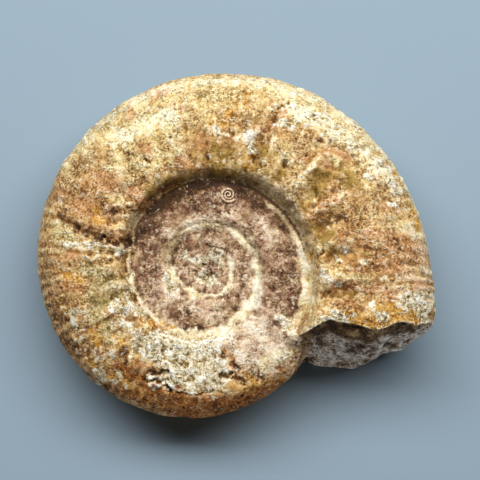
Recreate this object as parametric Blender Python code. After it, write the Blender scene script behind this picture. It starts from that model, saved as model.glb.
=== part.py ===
"""Fossil ammonite, lying on its flank: one coiled stone, and the small coiled worm tube grown onto it.

The shell is built round its coiling axis, in polar coordinates, as a spiral strip of cross-sections.
A whorl's section runs from the upper umbilical seam over the flank and the venter, which is the
outer edge, to the lower seam. Inside the last whorl only the strip between two seams is exposed.
Growth is counted in turns: 0 at the broken end, and less towards the centre. A place on the flank
is a share of the whorl's height, from 0 at the seam to 1 at the venter.
The finished stone is leant onto its lower flank and set down on z = 0.
"""

import math

import bmesh
import bpy
from mathutils import Matrix, Vector, noise

MM = 0.001

# Coil
VENTER_RADIUS = 59.7 * MM
EXPANSION = 1.795  # growth of the radius in one turn
TURNS = 2.75
END_ANGLE = math.radians(-24)  # direction of the broken end, seen from above
SEAM_SHARE = 0.466  # seam radius over venter radius at the end
SEAM_SHARE_PER_TURN = 0.032
OVAL = 1.02  # the rock pressed the coil a little longer in Y,
PUSH = 1.2 * MM  # and its outer whorl that far towards +Y,
PUSH_FROM, PUSH_TO = 28 * MM, 36 * MM  # between these radii

# Whorl section
HALF_BREADTH = 14.2 * MM
CORE_HEIGHT_SHARE = 0.3  # the worn inner whorls never get flatter than this
BREADTH_GROWTH = 1.35
SHOULDER = 0.11  # where the umbilical wall ends
WIDEST = 0.36
SHOULDER_SLOPE = 0.06  # how much thinner the whorl is at its wall than at its widest
VENTER_POWER = 2.3

# Ribs
RIBS_PER_TURN = 23
RIB_HEIGHT = 0.65 * MM
RIB_VALLEY_ANGLE = math.radians(-9.8)
RIB_START, RIB_FULL = 0.02, 0.16
RIB_FADE, RIB_FADED = 0.35, 0.75
RIB_LOSS = 0.85  # the share of its height that a rib loses towards the venter
RIB_FIRST_TURN, RIB_FULL_TURN = -1.3, -0.2
RIB_TURNS_OUT = 0.6  # beyond this, ribs stand out from the axis and no longer upwards

# Break across the last whorl: directions of its upper edge in degrees, at radii in mm
BREAK_EDGE = [(29, -32), (35, -23.5), (44.5, -21.7), (52, -15.7), (61, -11.5)]
BREAK_SLOPE = 0.37  # how far the lower flank stands out, over the thickness,
BREAK_UPRIGHT = 0.5  # which is that much less at the venter
BREAK_LUMP = 0.9 * MM
BREAK_LUMPS_PER_METRE = 160
BREAK_ROWS = 3
WARP_BEFORE = math.radians(26)  # sections are swung round onto the break from this far back,
WARP_PAST = math.radians(30)  # and this far on, where the whorl inside it runs past,
WARP_FROM = 0.5  # outside this share of the seam's radius

# Worn centre of the umbilicus
CENTRE_RING = 0.5  # radius of its ring, over the innermost seam's
CENTRE_RING_RISE = 0.4 * MM
CENTRE_RISE = 0.3 * MM

# Rest: the lean that brings three sides of the lower flank down together, and the worn flats there
LEAN_X = math.radians(-0.5)
LEAN_Y = math.radians(-2.5)
WORN_FLAT = 0.6 * MM

# Worm tube: a flat coil on the second whorl, its place given in plan from the coiling axis
TUBE_PLACE = (6.3 * MM, 18.9 * MM)
TUBE_MOUTH_RADIUS = 1.85 * MM
TUBE_PITCH = 0.85 * MM
TUBE_TURNS = 2.05
TUBE_THICKNESS = 0.6 * MM
TUBE_TAPER = 0.35
TUBE_MOUTH_ANGLE = math.radians(-33)
TUBE_CLEARANCE = 0.45 * MM  # under the coil's middle, so that its rim keeps 0.3 mm

# Mesh
STATIONS_PER_RIB = 4
FLANK_PLACES = (0, 0.09, 0.2, 0.36, 0.56, 0.78, 1)  # from the seam to the next whorl's seam
VENTER_STEPS = 7
TUBE_POINTS_PER_TURN = 16
SHARP_EDGE = math.radians(35)

EDGE = len(FLANK_PLACES) - 1  # index of the next whorl's seam
KEEL = EDGE + VENTER_STEPS  # index of the venter's mid-line
LAST = 2 * KEEL  # index of the lower seam
STATIONS_PER_TURN = RIBS_PER_TURN * STATIONS_PER_RIB
STATIONS = round(TURNS * STATIONS_PER_TURN)
FIRST_OPEN = STATIONS - STATIONS_PER_TURN  # from this station on, the venter is exposed


def clear_scene():
    for obj in list(bpy.data.objects):
        bpy.data.objects.remove(obj)


def ease(value, low, high):
    """0 below low, 1 above high, and an easy curve between them."""
    share = min(1.0, max(0.0, (value - low) / (high - low)))
    return share * share * (3 - 2 * share)


def venter_radius(turn):
    return VENTER_RADIUS * EXPANSION**turn


def seam_radius(turn):
    return venter_radius(turn) * (SEAM_SHARE + SEAM_SHARE_PER_TURN * turn)


def flank_height(turn):
    """Half the whorl's thickness at its widest."""
    growth = EXPANSION ** (BREADTH_GROWTH * turn)
    return HALF_BREADTH * (CORE_HEIGHT_SHARE + (1 - CORE_HEIGHT_SHARE) * growth)


def next_seam_share(turn):
    """Where the next whorl's seam lies on this one."""
    inner = seam_radius(turn)
    return (seam_radius(turn + 1) - inner) / (venter_radius(turn) - inner)


def bulge(share):
    """Half the whorl's thickness at a share of its height, over that at its widest."""
    if share < WIDEST:
        return 1 - SHOULDER_SLOPE * (1 - share / WIDEST) ** 2
    return math.sqrt(max(0.0, 1 - ((share - WIDEST) / (1 - WIDEST)) ** VENTER_POWER))


def seam_height(turn):
    return flank_height(turn - 1) * bulge(next_seam_share(turn - 1))


def rib_height(turn, share):
    """Ribs are strong beside the umbilicus and faded out half-way up the flank."""
    angle = END_ANGLE - turn * math.tau
    wave = -math.cos((angle - RIB_VALLEY_ANGLE) * RIBS_PER_TURN)
    along = ease(share, RIB_START, RIB_FULL) * (1 - RIB_LOSS * ease(share, RIB_FADE, RIB_FADED))
    return RIB_HEIGHT * wave * along * ease(turn, RIB_FIRST_TURN, RIB_FULL_TURN)


def section_point(turn, share):
    """(radius, height) of the upper half of a whorl's section."""
    inner, outer = seam_radius(turn), venter_radius(turn)
    low = seam_height(turn)
    wall = math.sin(math.pi / 2 * min(1.0, share / SHOULDER))
    height = low + (flank_height(turn) * bulge(share) - low) * wall
    rib = rib_height(turn, share)
    outward = ease(share, RIB_TURNS_OUT, 1)
    return inner + (outer - inner) * share + rib * outward, height + rib * (1 - outward)


def section_shares(turn):
    """Shares of the whorl's height at the points of half a section."""
    edge = next_seam_share(turn)
    start = math.asin((edge - WIDEST) / (1 - WIDEST))
    bends = [start + (math.pi / 2 - start) * n / VENTER_STEPS for n in range(1, VENTER_STEPS + 1)]
    return [edge * place for place in FLANK_PLACES] + [
        WIDEST + (1 - WIDEST) * math.sin(bend) for bend in bends
    ]


def break_angle(radius, height):
    """Direction of the break at a radius and height of the last section."""
    edge = [(r * MM, math.radians(degrees)) for r, degrees in BREAK_EDGE]
    angle = edge[0][1]
    for (r0, angle0), (r1, angle1) in zip(edge, edge[1:]):
        angle += (angle1 - angle0) * ease(radius, r0, r1)
    slope = BREAK_SLOPE * (1 - BREAK_UPRIGHT * ease(radius, edge[1][0], edge[-1][0]))
    return angle - slope * (HALF_BREADTH - height) / radius


def placed(radius, angle, height):
    """The point in space, with the sections near the end swung round onto the break."""
    past = (END_ANGLE - angle + math.pi) % math.tau - math.pi
    near = 1 - (ease(past, 0, WARP_PAST) if past > 0 else ease(-past, 0, WARP_BEFORE))
    outside = ease(radius, WARP_FROM * seam_radius(0), seam_radius(0))
    angle += (break_angle(radius, height) - END_ANGLE) * near * outside
    push = PUSH * ease(radius, PUSH_FROM, PUSH_TO)
    return Vector((radius * math.cos(angle), radius * math.sin(angle) * OVAL + push, height))


class StonePoints:
    """The vertices of the coil, found again by station and place along the section."""

    def __init__(self):
        self.points = []
        self.index = {}

    def add(self, key, radius, angle, height):
        self.index[key] = len(self.points)
        self.points.append(placed(radius, angle, height))

    def at(self, station, place):
        """An inner whorl's flank ends at the seam of the whorl outside it."""
        if station <= FIRST_OPEN and place in (EDGE, LAST - EDGE):
            return self.index[station + STATIONS_PER_TURN, 0 if place == EDGE else LAST]
        return self.index[station, place]


def turn_of(station):
    return (station - STATIONS) / STATIONS_PER_TURN


def add_sections(stone):
    for station in range(STATIONS + 1):
        turn = turn_of(station)
        angle = END_ANGLE - turn * math.tau
        last = KEEL if station >= FIRST_OPEN else EDGE - 1
        for place, share in enumerate(section_shares(turn)[: last + 1]):
            if place == EDGE and station == FIRST_OPEN:
                continue
            radius, height = section_point(turn, share)
            stone.add((station, place), radius, angle, height)
            if place != KEEL:
                stone.add((station, LAST - place), radius, angle, -height)


def strip_faces(stone):
    faces = []
    for station in range(STATIONS):
        if station >= FIRST_OPEN:
            places = range(LAST)
        else:
            places = [*range(EDGE), *range(LAST - EDGE, LAST)]
        for place in places:
            near = stone.at(station, place), stone.at(station, place + 1)
            far = stone.at(station + 1, place), stone.at(station + 1, place + 1)
            faces.append((far[0], far[1], near[1], near[0]))
    return faces


def centre_faces(stone, side):
    """A ring and a fan inside the first turn. side is 1 for the upper face and -1 for the lower."""
    rim = [stone.at(station, 0 if side > 0 else LAST) for station in range(STATIONS_PER_TURN)]
    for place in range(EDGE, 0, -1):
        rim.append(stone.at(0, place if side > 0 else LAST - place))
    mean = sum(stone.points[vertex].z for vertex in rim) / len(rim)
    ring = []
    for vertex in rim:
        point = stone.points[vertex] * CENTRE_RING
        point.z = mean + side * CENTRE_RING_RISE
        ring.append(len(stone.points))
        stone.points.append(point)
    centre = len(stone.points)
    stone.points.append(Vector((0, 0, mean + side * CENTRE_RISE)))
    faces = []
    for n, vertex in enumerate(rim):
        after = (n + 1) % len(rim)
        faces.append((vertex, rim[after], ring[after], ring[n]))
        faces.append((ring[n], ring[after], centre))
    return faces if side < 0 else [face[::-1] for face in faces]


def zipped(near, far, points):
    """Triangles between two lines of vertices that hold different numbers of them."""
    faces, n, m = [], 0, 0
    while n < len(near) - 1 or m < len(far) - 1:
        along_near = along_far = math.inf
        if n < len(near) - 1:
            along_near = (points[near[n + 1]] - points[far[m]]).length
        if m < len(far) - 1:
            along_far = (points[near[n]] - points[far[m + 1]]).length
        if along_near <= along_far:
            faces.append((near[n], far[m], near[n + 1]))
            n += 1
        else:
            faces.append((near[n], far[m], far[m + 1]))
            m += 1
    return [face for face in faces if len(set(face)) == 3]


def section_at(turn, along):
    """(radius, height) at a whole or part place along a full section."""
    shares = section_shares(turn)

    def corner(place):
        radius, height = section_point(turn, shares[min(place, LAST - place)])
        return Vector((radius, height if place <= KEEL else -height))

    low = min(math.floor(along), LAST - 1)
    return corner(low).lerp(corner(low + 1), along - low)


def break_faces(stone):
    """The rough broken face, from the last section in to the whorl that it is grown round."""
    outer = [stone.at(STATIONS, place) for place in range(LAST + 1)]
    inner = [stone.at(FIRST_OPEN, place) for place in range(EDGE, LAST - EDGE + 1)]
    rows = [outer]
    for row in range(1, BREAK_ROWS + 1):
        middle = []
        for place in range(1, LAST):
            inner_place = EDGE + (LAST - 2 * EDGE) * place / LAST
            start, end = section_at(0, place), section_at(turn_of(FIRST_OPEN), inner_place)
            radius, height = start.lerp(end, row / (BREAK_ROWS + 1))
            rough = noise.noise(Vector((radius, height, 0)) * BREAK_LUMPS_PER_METRE)
            key = ("break", row, place)
            stone.add(key, radius, END_ANGLE + rough * BREAK_LUMP / radius, height)
            middle.append(stone.index[key])
        rows.append([outer[0], *middle, outer[-1]])
    faces = []
    for near, far in zip(rows, rows[1:]):
        for place in range(LAST):
            corners = (far[place], far[place + 1], near[place + 1], near[place])
            faces.append(tuple(dict.fromkeys(corners)))
    return faces + zipped(rows[-1], inner, stone.points)


def plain_material(name, colour, roughness):
    made = bpy.data.materials.new(name)
    made.use_nodes = True
    shader = made.node_tree.nodes["Principled BSDF"]
    shader.inputs["Base Color"].default_value = (*colour, 1)
    shader.inputs["Roughness"].default_value = roughness
    shader.inputs["Metallic"].default_value = 0
    return made


def set_down(bm):
    """Leans the stone onto its lower flank, cuts the worn flats, and returns the matrix that did it."""
    lean = Matrix.Rotation(LEAN_Y, 4, "Y") @ Matrix.Rotation(LEAN_X, 4, "X")
    bm.transform(lean)
    lows = [min(v.co[axis] for v in bm.verts) for axis in range(3)]
    highs = [max(v.co[axis] for v in bm.verts) for axis in range(3)]
    middle_x, middle_y = (lows[0] + highs[0]) / 2, (lows[1] + highs[1]) / 2
    move = Matrix.Translation((-middle_x, -middle_y, -lows[2] - WORN_FLAT))
    bm.transform(move)
    cut = bmesh.ops.bisect_plane(
        bm,
        geom=[*bm.verts, *bm.edges, *bm.faces],
        plane_co=(0, 0, 0),
        plane_no=(0, 0, -1),
        clear_outer=True,
    )
    rim = [part for part in cut["geom_cut"] if isinstance(part, bmesh.types.BMEdge)]
    bmesh.ops.holes_fill(bm, edges=rim)
    return move @ lean


def make_ammonite():
    stone = StonePoints()
    add_sections(stone)
    faces = strip_faces(stone) + centre_faces(stone, 1) + centre_faces(stone, -1)
    faces += break_faces(stone)
    mesh = bpy.data.meshes.new("ammonite")
    mesh.from_pydata(stone.points, [], faces)
    bm = bmesh.new()
    bm.from_mesh(mesh)
    to_rest = set_down(bm)
    bm.to_mesh(mesh)
    bm.free()
    mesh.shade_smooth()
    mesh.set_sharp_from_angle(angle=SHARP_EDGE)
    mesh.materials.append(plain_material("ochre limestone", (0.60, 0.42, 0.22), 0.85))
    obj = bpy.data.objects.new("ammonite", mesh)
    bpy.context.collection.objects.link(obj)
    return obj, to_rest


def make_worm_tube(ammonite, to_rest):
    """A thin limy tube that starts at its centre and winds out to its open mouth."""
    above = to_rest @ Vector((*TUBE_PLACE, 2 * HALF_BREADTH))
    down = to_rest.to_3x3() @ Vector((0, 0, -1))
    _, foot, normal, _ = ammonite.ray_cast(above, down)
    curve = bpy.data.curves.new("worm_tube", "CURVE")
    curve.dimensions = "3D"
    curve.bevel_depth = TUBE_THICKNESS / 2
    curve.bevel_resolution = 1
    curve.use_fill_caps = True
    last = round(TUBE_TURNS * TUBE_POINTS_PER_TURN)
    spline = curve.splines.new("POLY")
    spline.points.add(last)
    for n, point in enumerate(spline.points):
        back = (last - n) / TUBE_POINTS_PER_TURN
        radius = TUBE_MOUTH_RADIUS - TUBE_PITCH * back
        angle = TUBE_MOUTH_ANGLE - back * math.tau
        point.co = (radius * math.cos(angle), radius * math.sin(angle), 0, 1)
        point.radius = 1 - TUBE_TAPER * back / TUBE_TURNS
    curve.materials.append(plain_material("limy tube", (0.72, 0.60, 0.50), 0.6))
    obj = bpy.data.objects.new("worm_tube", curve)
    obj.location = foot + normal * (TUBE_THICKNESS / 2 + TUBE_CLEARANCE)
    obj.rotation_euler = Vector((0, 0, 1)).rotation_difference(normal).to_euler()
    bpy.context.collection.objects.link(obj)


clear_scene()
stone_object, stone_to_rest = make_ammonite()
bpy.context.view_layer.update()
make_worm_tube(stone_object, stone_to_rest)
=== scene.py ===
"""A fossil ammonite lying on its flank, seen from above, with a small worm tube grown on it."""

import math
import random

import bpy
import numpy as np
from mathutils import Matrix, Vector, kdtree, noise


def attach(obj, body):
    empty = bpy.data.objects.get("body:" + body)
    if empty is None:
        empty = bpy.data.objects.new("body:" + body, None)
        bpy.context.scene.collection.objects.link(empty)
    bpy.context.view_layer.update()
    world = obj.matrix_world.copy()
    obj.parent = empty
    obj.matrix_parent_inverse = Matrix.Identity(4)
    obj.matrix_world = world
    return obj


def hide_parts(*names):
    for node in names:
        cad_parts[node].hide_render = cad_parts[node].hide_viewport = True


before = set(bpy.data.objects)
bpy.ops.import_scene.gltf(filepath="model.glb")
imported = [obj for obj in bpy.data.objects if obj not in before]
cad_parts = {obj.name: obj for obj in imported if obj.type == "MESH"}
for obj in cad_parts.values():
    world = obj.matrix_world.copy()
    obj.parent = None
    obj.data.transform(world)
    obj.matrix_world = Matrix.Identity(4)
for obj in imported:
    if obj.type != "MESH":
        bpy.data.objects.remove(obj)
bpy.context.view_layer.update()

MM = 0.001

# Camera. The photo was taken by hand from nearly straight above, seven degrees towards the
# near side, so a little of the broken face and of the near edge shows.

PHOTO_SIDE = 480  # pixels
PIXEL = 0.255 * MM  # what a pixel spans at the fossil's middle height
PHOTO_CENTRE = (235, 243)  # the pixel that the middle of the fossil falls on
EYE_ANGLE = math.radians(83)
EYE_DISTANCE = 400 * MM
EYE_TARGET = Vector((0, 0, 14 * MM))
SENSOR = 36

to_eye = Vector((0, -math.cos(EYE_ANGLE), math.sin(EYE_ANGLE)))
bpy.ops.object.select_all(action="DESELECT")
bpy.ops.object.camera_add(
    location=EYE_TARGET + to_eye * EYE_DISTANCE,
    rotation=(-to_eye).to_track_quat("-Z", "Y").to_euler(),
)
camera = bpy.context.object
camera.data.sensor_width = SENSOR
camera.data.lens = SENSOR * EYE_DISTANCE / (PHOTO_SIDE * PIXEL)
camera.data.shift_x = 0.5 - PHOTO_CENTRE[0] / PHOTO_SIDE
camera.data.shift_y = PHOTO_CENTRE[1] / PHOTO_SIDE - 0.5
bpy.context.scene.camera = camera

# Ammonite: a coiled shell filled with limy mud that set to stone, with remains of the shell
# turned to limonite and a pale limy crust over it. It grew as a tube that widened with every
# turn, so it is drawn out here from its mouth inwards, a section at a time.

# Coil: the same measures as the solid's
VENTER_RADIUS = 59.7 * MM
EXPANSION = 1.795  # growth of the radius in one turn
SEAM_SHARE, SEAM_SHARE_PER_TURN = 0.466, 0.032  # seam radius over venter radius at the end
HALF_BREADTH = 14.2 * MM
CORE_HEIGHT_SHARE, BREADTH_GROWTH = 0.3, 1.35
SHOULDER, WIDEST, SHOULDER_SLOPE, VENTER_POWER = 0.11, 0.36, 0.06, 2.3
END_ANGLE = math.radians(-24)

SECTION_POINTS = 64
STATIONS_PER_TURN = 80
COIL_TURNS = 4.6
INNER_WALL = 0.8  # how far round the inner half of a section its wall is reached
INNER_BEND = 1.5
FIRST_CHAMBER = (2.6 * MM, 4.8 * MM)  # radius and half height of the ball at the coil's centre
CORNER_PLACE, CORNER_FILL = (28.6 * MM, 0, 8.3 * MM), 1.8 * MM  # lime in the break's inner corner
VOXEL = 0.3 * MM


def ease(value, low, high):
    """0 below low, 1 above high, and an easy curve between them."""
    share = np.clip((value - low) / (high - low), 0, 1)
    return share * share * (3 - 2 * share)


def venter_radius(turn):
    return VENTER_RADIUS * EXPANSION**turn


def seam_radius(turn):
    return venter_radius(turn) * (SEAM_SHARE + SEAM_SHARE_PER_TURN * turn)


def flank_height(turn):
    """Half the whorl's thickness at its widest."""
    growth = EXPANSION ** (BREADTH_GROWTH * turn)
    return HALF_BREADTH * (CORE_HEIGHT_SHARE + (1 - CORE_HEIGHT_SHARE) * growth)


def bulge(share):
    """Half the whorl's thickness at a share of its height, over that at its widest."""
    if share < WIDEST:
        return 1 - SHOULDER_SLOPE * (1 - share / WIDEST) ** 2
    return math.sqrt(max(0.0, 1 - ((share - WIDEST) / (1 - WIDEST)) ** VENTER_POWER))


def mouth_point(bend):
    """A point of the mouth's outline. The bend runs from 0 at the venter to pi at the inside."""
    inner, outer = seam_radius(0), venter_radius(0)
    seam_place = (seam_radius(0) - seam_radius(-1)) / (venter_radius(-1) - seam_radius(-1))
    low = flank_height(-1) * bulge(seam_place)
    side = abs(bend)
    if side <= math.pi / 2:
        share = WIDEST + (1 - WIDEST) * math.cos(side)
        height = HALF_BREADTH * bulge(share)
    else:
        inwards = (side - math.pi / 2) / (math.pi / 2)
        share = WIDEST * max(0.0, 1 - inwards / INNER_WALL) ** INNER_BEND
        wall = math.sin(math.pi / 2 * min(1.0, share / SHOULDER))
        height = low + (HALF_BREADTH * bulge(share) - low) * wall
        height *= min(1.0, (1 - inwards) / (1 - INNER_WALL))
    return Vector((inner + (outer - inner) * share, 0, math.copysign(height, bend)))


bpy.ops.object.select_all(action="DESELECT")
bpy.ops.mesh.primitive_circle_add(
    vertices=SECTION_POINTS, radius=VENTER_RADIUS, fill_type="NGON", rotation=(math.pi / 2, 0, 0)
)
stone = bpy.context.object
stone.name = stone.data.name = "stone"
bpy.ops.object.transform_apply(location=False, rotation=True, scale=False)
for vertex in stone.data.vertices:
    vertex.co = mouth_point(math.atan2(vertex.co.z, vertex.co.x))

bpy.ops.object.mode_set(mode="EDIT")
bpy.ops.mesh.select_all(action="SELECT")
for station in range(round(COIL_TURNS * STATIONS_PER_TURN)):
    turn, inward = -station / STATIONS_PER_TURN, -(station + 1) / STATIONS_PER_TURN
    narrower = (venter_radius(inward) - seam_radius(inward)) / (venter_radius(turn) - seam_radius(turn))
    flatter = flank_height(inward) / flank_height(turn)
    still = (venter_radius(inward) - narrower * venter_radius(turn)) / (1 - narrower)
    angle = -turn * math.tau
    bpy.ops.mesh.extrude_region_move()
    bpy.ops.transform.resize(
        value=(narrower, narrower, flatter),
        center_override=(still * math.cos(angle), still * math.sin(angle), 0),
    )
    bpy.ops.transform.rotate(
        value=-math.tau / STATIONS_PER_TURN, orient_axis="Z", center_override=(0, 0, 0)
    )
bpy.ops.mesh.select_all(action="DESELECT")
bpy.ops.mesh.primitive_uv_sphere_add(segments=32, ring_count=16, radius=FIRST_CHAMBER[0])
bpy.ops.transform.resize(
    value=(1, 1, FIRST_CHAMBER[1] / FIRST_CHAMBER[0]), center_override=(0, 0, 0)
)
bpy.ops.mesh.primitive_uv_sphere_add(
    segments=16, ring_count=12, radius=CORNER_FILL, location=CORNER_PLACE
)
bpy.ops.mesh.select_all(action="SELECT")
bpy.ops.mesh.normals_make_consistent(inside=False)
bpy.ops.object.mode_set(mode="OBJECT")

# The turns grow together into one skin.
fused = stone.modifiers.new("fused", "REMESH")
fused.mode = "VOXEL"
fused.voxel_size = VOXEL
bpy.ops.object.modifier_apply(modifier=fused.name)
softened = stone.modifiers.new("softened", "SMOOTH")
softened.factor = 0.5
softened.iterations = 4
bpy.ops.object.modifier_apply(modifier=softened.name)

# Where each point is on the whorls: the turn that it grew in, 0 at the mouth and less towards
# the centre, and its share of the whorl's height, from 0 at the seam to 1 at the venter
MOUTH_SLACK = math.radians(1.5)
BREAK_FACING, BREAK_REACH = (0.45, 0.8), 1.5 * MM  # the break's face looks out of the mouth


def read(data, name, width):
    values = np.empty(len(data) * width, np.int32 if name == "vertices" else np.float32)
    data.foreach_get(name, values)
    return values.reshape(-1, width).astype(float) if width > 1 else values.astype(float)


def write(data, name, values):
    data.foreach_set(name, np.ascontiguousarray(values, np.float32).ravel())


grown = read(stone.data.vertices, "co", 3)
facing = read(stone.data.vertex_normals, "vector", 3)
radius = np.hypot(grown[:, 0], grown[:, 1])
angle = np.arctan2(grown[:, 1], grown[:, 0])
turn = -((angle + MOUTH_SLACK) % math.tau - MOUTH_SLACK) / math.tau
for _ in range(round(COIL_TURNS)):
    turn = np.where(radius < seam_radius(turn), turn - 1, turn)
share = (radius - seam_radius(turn)) / (venter_radius(turn) - seam_radius(turn))
along_shell = -np.sin(angle) * facing[:, 0] + np.cos(angle) * facing[:, 1]
at_mouth = (radius > seam_radius(0)) * (np.abs(angle) * radius < BREAK_REACH)
broken = ease(-along_shell, *BREAK_FACING) * at_mouth

# The break ran slanting across the last whorl: directions of its upper edge in degrees, at radii
# in mm. The rock pressed the coil a little longer in Y, and its outer whorl towards +Y.
BREAK_EDGE = [(29, -32), (35, -23.5), (44.5, -21.7), (52, -15.7), (61, -11.5)]
BREAK_SLOPE, BREAK_UPRIGHT = 0.37, 0.5
WARP_BEFORE, WARP_PAST, WARP_FROM = math.radians(26), math.radians(30), 0.5
OVAL = 1.02
PUSH, PUSH_FROM, PUSH_TO = 1.2 * MM, 28 * MM, 36 * MM
INNER_PUSH, INNER_FROM, INNER_TO = (1.5, 2.3), 9 * MM, 14 * MM  # the innermost whorls, in mm
INNER_SIDE, INNER_SIDE_FROM, INNER_SIDE_TO = (-0.55, -0.83), 1 * MM, 8 * MM
# Rest: where the coiling axis stands, and how it leans
AXIS_PLACE = Vector((-7.636, -7.585, 12.383)) * MM
AXIS_LEAN = (math.radians(-0.5), math.radians(-2.5))

break_angle = np.full(len(radius), math.radians(BREAK_EDGE[0][1]))
for (r0, degrees0), (r1, degrees1) in zip(BREAK_EDGE, BREAK_EDGE[1:]):
    break_angle += math.radians(degrees1 - degrees0) * ease(radius, r0 * MM, r1 * MM)
upright = BREAK_UPRIGHT * ease(radius, BREAK_EDGE[1][0] * MM, BREAK_EDGE[-1][0] * MM)
break_angle -= BREAK_SLOPE * (1 - upright) * (HALF_BREADTH - grown[:, 2]) / np.maximum(radius, MM)
near = 1 - np.where(angle < 0, ease(-angle, 0, WARP_PAST), ease(angle, 0, WARP_BEFORE))
outside = ease(radius, WARP_FROM * seam_radius(0), seam_radius(0))
direction = angle + END_ANGLE + (break_angle - END_ANGLE) * near * outside
push = PUSH * ease(radius, PUSH_FROM, PUSH_TO)
coiled = np.column_stack(
    (radius * np.cos(direction), radius * np.sin(direction) * OVAL + push, grown[:, 2])
)
near_side = ease(coiled[:, :2] @ np.array(INNER_SIDE), INNER_SIDE_FROM, INNER_SIDE_TO)
inner = near_side * (1 - ease(radius, INNER_FROM, INNER_TO))
coiled[:, :2] += inner[:, None] * np.array(INNER_PUSH) * MM
lean = Matrix.Rotation(AXIS_LEAN[1], 3, "Y") @ Matrix.Rotation(AXIS_LEAN[0], 3, "X")
base = coiled @ np.array(lean).T + np.array(AXIS_PLACE)

# Mud and lime filled the seams between the whorls to a soft fillet, broadest round the second
# whorl. Turns are counted back from the mouth.
FILLET_TURNS = [-4, -2, -1.6, -1.45, -1.1, -0.9, -0.75, -0.6, 0]
FILLET_WIDTHS = [0.7, 1.0, 1.4, 2.0, 2.0, 1.8, 1.1, 0.9, 0.7]  # in mm
FILLET_ROUNDS = 20
LAPS = 4  # how many seams lie side by side, from the rim to the centre
BREAK_CORNER = (15.0, -25.0, 2.2)  # where lime fills the break's inner corner, and how wide, in mm

edges = read(stone.data.edges, "vertices", 2).astype(int)
links = np.bincount(edges.ravel(), minlength=len(base))[:, None]


def neighbour_mean(values):
    """The mean of what the points next to each point have."""
    total = [
        np.bincount(edges[:, 0], column[edges[:, 1]], len(values))
        + np.bincount(edges[:, 1], column[edges[:, 0]], len(values))
        for column in values.T
    ]
    return np.column_stack(total) / links


seam_turn = -((angle + MOUTH_SLACK) % math.tau - MOUTH_SLACK) / math.tau
fillet = np.zeros(len(base))
for lap in range(LAPS):
    past_seam = (radius - seam_radius(seam_turn - lap)) / MM
    width = np.interp(seam_turn - lap, FILLET_TURNS, FILLET_WIDTHS)
    fillet = np.maximum(fillet, np.exp(-((past_seam / width) ** 2)))
fillet *= 1 - broken
from_corner = np.hypot(base[:, 0] / MM - BREAK_CORNER[0], base[:, 1] / MM - BREAK_CORNER[1])
fillet = np.maximum(fillet, np.exp(-((from_corner / BREAK_CORNER[2]) ** 2)))
for _ in range(FILLET_ROUNDS):
    base += fillet[:, None] * (neighbour_mean(base) - base)
write(stone.data.vertices, "co", base)
stone.data.update()
facing = read(stone.data.vertex_normals, "vector", 3)

# Relief. Lines on the upper flank are x0, y0, x1, y1, half width and height, in mm in plan.
GROOVES = [
    (-44.2, 6.1, -39.7, 3.3, 1.5, -0.3), (-39.7, 2.7, -33.2, 0.8, 2.0, -0.8),
    (-33.2, 0.3, -26.5, -0.8, 2.0, -0.75), (17.2, 7.0, 19.7, 11.0, 2.8, -0.8),
    (19.7, 11.0, 24.7, 17.4, 2.8, -0.75), (19.2, 1.0, 24.7, 4.0, 2.4, -0.65),
    (20.7, -0.2, 23.2, 0.8, 1.2, -0.3), (23.2, -5.0, 28.2, -4.5, 1.8, -0.8),
    (22.2, -13.8, 28.7, -13.6, 2.0, -0.9), (10.0, 13.9, 12.2, 17.9, 1.8, -0.6),
    (4.5, 19.4, 6.2, 25.0, 1.8, -0.7), (6.2, 25.0, 11.7, 33.8, 1.6, -0.6),
    (-1.5, 17.9, -1.0, 25.5, 1.8, -0.3), (-30.7, -14.8, -27.7, -13.3, 1.2, -0.4),
    (2.5, 16.9, 4.2, 19.9, 1.2, -0.3), (-30.2, 7.1, -25.5, 6.8, 1.3, -0.35),
    (-32.2, 4.3, -27.2, 4.8, 1.3, -0.25), (-7.7, 17.9, -7.7, 25.5, 1.8, -0.3),
    (-14.7, 13.9, -18.7, 19.4, 2.0, -0.25), (-37.2, -6.1, -31.0, -5.6, 1.1, -0.4),
    (-21.2, 9.8, -24.7, 13.4, 1.8, -0.35), (-33.7, -9.8, -27.2, -9.3, 1.2, -0.3),
    (-31.7, -19.9, -26.7, -17.9, 1.2, -0.3), (29.2, -22.9, 32.7, -20.9, 0.8, -0.2),
    (-21.2, -33.3, -16.7, -33.4, 1.0, -0.75), (-22.2, -35.3, -16.7, -35.1, 0.8, -0.5),
    (-16.7, -36.7, -16.2, -37.7, 1.0, -1.4), (-3.7, -34.0, -0.7, -33.6, 0.9, -0.7),
    (-0.7, -34.0, 2.5, -35.7, 0.8, -0.45), (-14.7, -38.8, -8.2, -38.6, 0.6, -0.3),
    (-8.2, -38.6, -3.2, -37.7, 0.6, -0.25), (-0.5, -30.9, 0.7, -32.2, 0.9, -0.8),
    (-3.2, -28.9, -2.0, -30.9, 0.8, -0.5), (-43.7, -16.1, -42.2, -16.1, 1.2, -0.2),
    (-40.2, -22.4, -35.7, -21.9, 0.8, -0.3), (30.2, -2.7, 37.7, -3.8, 1.0, -0.3),
    (39.2, 1.3, 41.0, -2.7, 1.0, -0.3), (6.2, -34.0, 7.2, -35.2, 0.8, -0.3),
    (-27.7, -27.9, -26.7, -30.9, 1.0, -0.35),
]
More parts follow.
